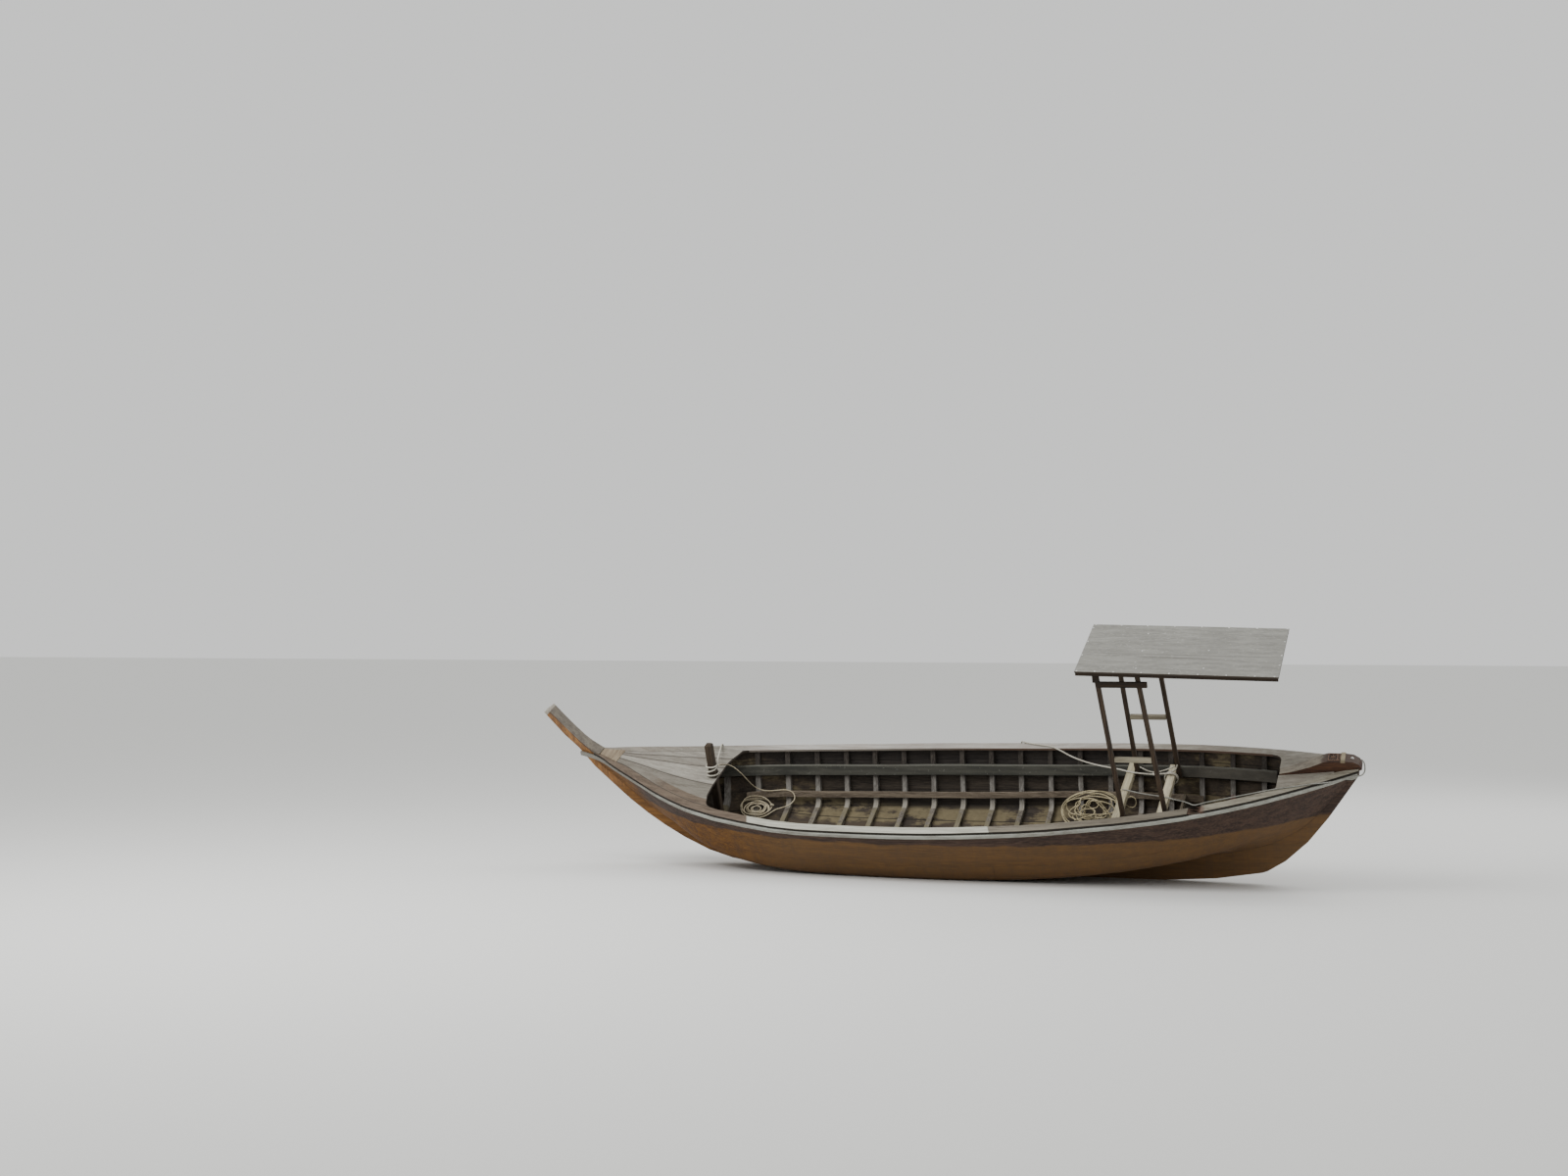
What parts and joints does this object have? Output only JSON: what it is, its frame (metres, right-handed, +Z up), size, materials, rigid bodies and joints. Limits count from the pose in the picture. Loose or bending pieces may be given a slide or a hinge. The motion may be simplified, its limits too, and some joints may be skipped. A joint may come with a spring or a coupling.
{
  "type": "longtail boat",
  "caption": "Weathered planked wooden longtail boat with a tall raked stem, open ribbed hull, carved stern head and a small flat canopy on posts, lying over on its keel and port bilge.",
  "frame": {"origin": "centre of the bounding box at floor level, with the boat lying on its keel and port bilge", "axes": "+X runs aft along the keel from bow to stern, +Y points to the raised starboard side, +Z is up"},
  "size_m": [8.4589, 2.0916, 2.5492],
  "materials": {
    "silver_wood": "weathered bare",
    "grey_wood": "weathered bare",
    "brown_wood": "weathered oiled",
    "dark_wood": "weathered oiled",
    "orange_wood": "worn varnish",
    "red_wood": "worn varnish",
    "green_wood": "weathered bare",
    "pale_wood": "bare",
    "white_line": "laid rope",
    "tan_line": "laid rope",
    "grey_line": "weathered rope"
  },
  "bodies": {
    "root": {"stem": "orange_wood", "keel": "orange_wood", "sternpost": "orange_wood", "bottom_strake_port": "orange_wood", "bilge_strake_fore_port": "orange_wood", "bilge_strake_aft_port": "orange_wood", "lower_side_strake_port": "brown_wood", "sheer_strake_port": "dark_wood", "bottom_strake_starboard": "orange_wood", "bilge_strake_fore_starboard": "orange_wood", "bilge_strake_aft_starboard": "orange_wood", "lower_side_strake_starboard": "brown_wood", "sheer_strake_starboard": "dark_wood", "floor_timbers_and_keelson_port": "grey_wood", "floor_timbers_and_keelson_starboard": "grey_wood", "side_timbers_and_stringer_port": "green_wood", "side_timbers_and_stringer_starboard": "green_wood", "lower_stringer_port": "brown_wood", "lower_stringer_starboard": "brown_wood", "rail_cap_starboard": "silver_wood", "rail_cap_port_forward": "silver_wood", "rail_cap_port_aft": "grey_wood", "rub_strip_port": "silver_wood", "rub_strip_starboard": "silver_wood", "foredeck_board_port": "grey_wood", "foredeck_board_middle": "grey_wood", "foredeck_board_inner_starboard": "grey_wood", "foredeck_board_outer_starboard": "grey_wood", "breasthook": "brown_wood", "foredeck_beam_forward": "dark_wood", "foredeck_beam_aft": "dark_wood", "stern_beam": "dark_wood", "stern_board_port": "silver_wood", "stern_board_starboard": "silver_wood", "stern_head": "red_wood", "bitt_post": "dark_wood", "front_cross_beam": "pale_wood", "aft_cross_beam": "pale_wood", "front_port_post": "dark_wood", "front_starboard_post": "dark_wood", "aft_port_post": "dark_wood", "aft_starboard_post": "dark_wood", "lower_rung_port": "brown_wood", "lower_rung_starboard": "brown_wood", "top_rail_port": "dark_wood", "top_rail_starboard": "dark_wood", "upper_rail_port": "brown_wood", "upper_rail_starboard": "brown_wood", "foot_board": "brown_wood", "roof_frame": "dark_wood", "roof_board_port": "grey_wood", "roof_board_starboard": "grey_wood", "mooring_line": "white_line", "bow_line": "tan_line", "bow_line_coil": "tan_line", "bottom_line_heap": "white_line", "beam_line": "white_line", "post_line": "white_line", "stern_line": "grey_line"}
  },
  "joints": []
}
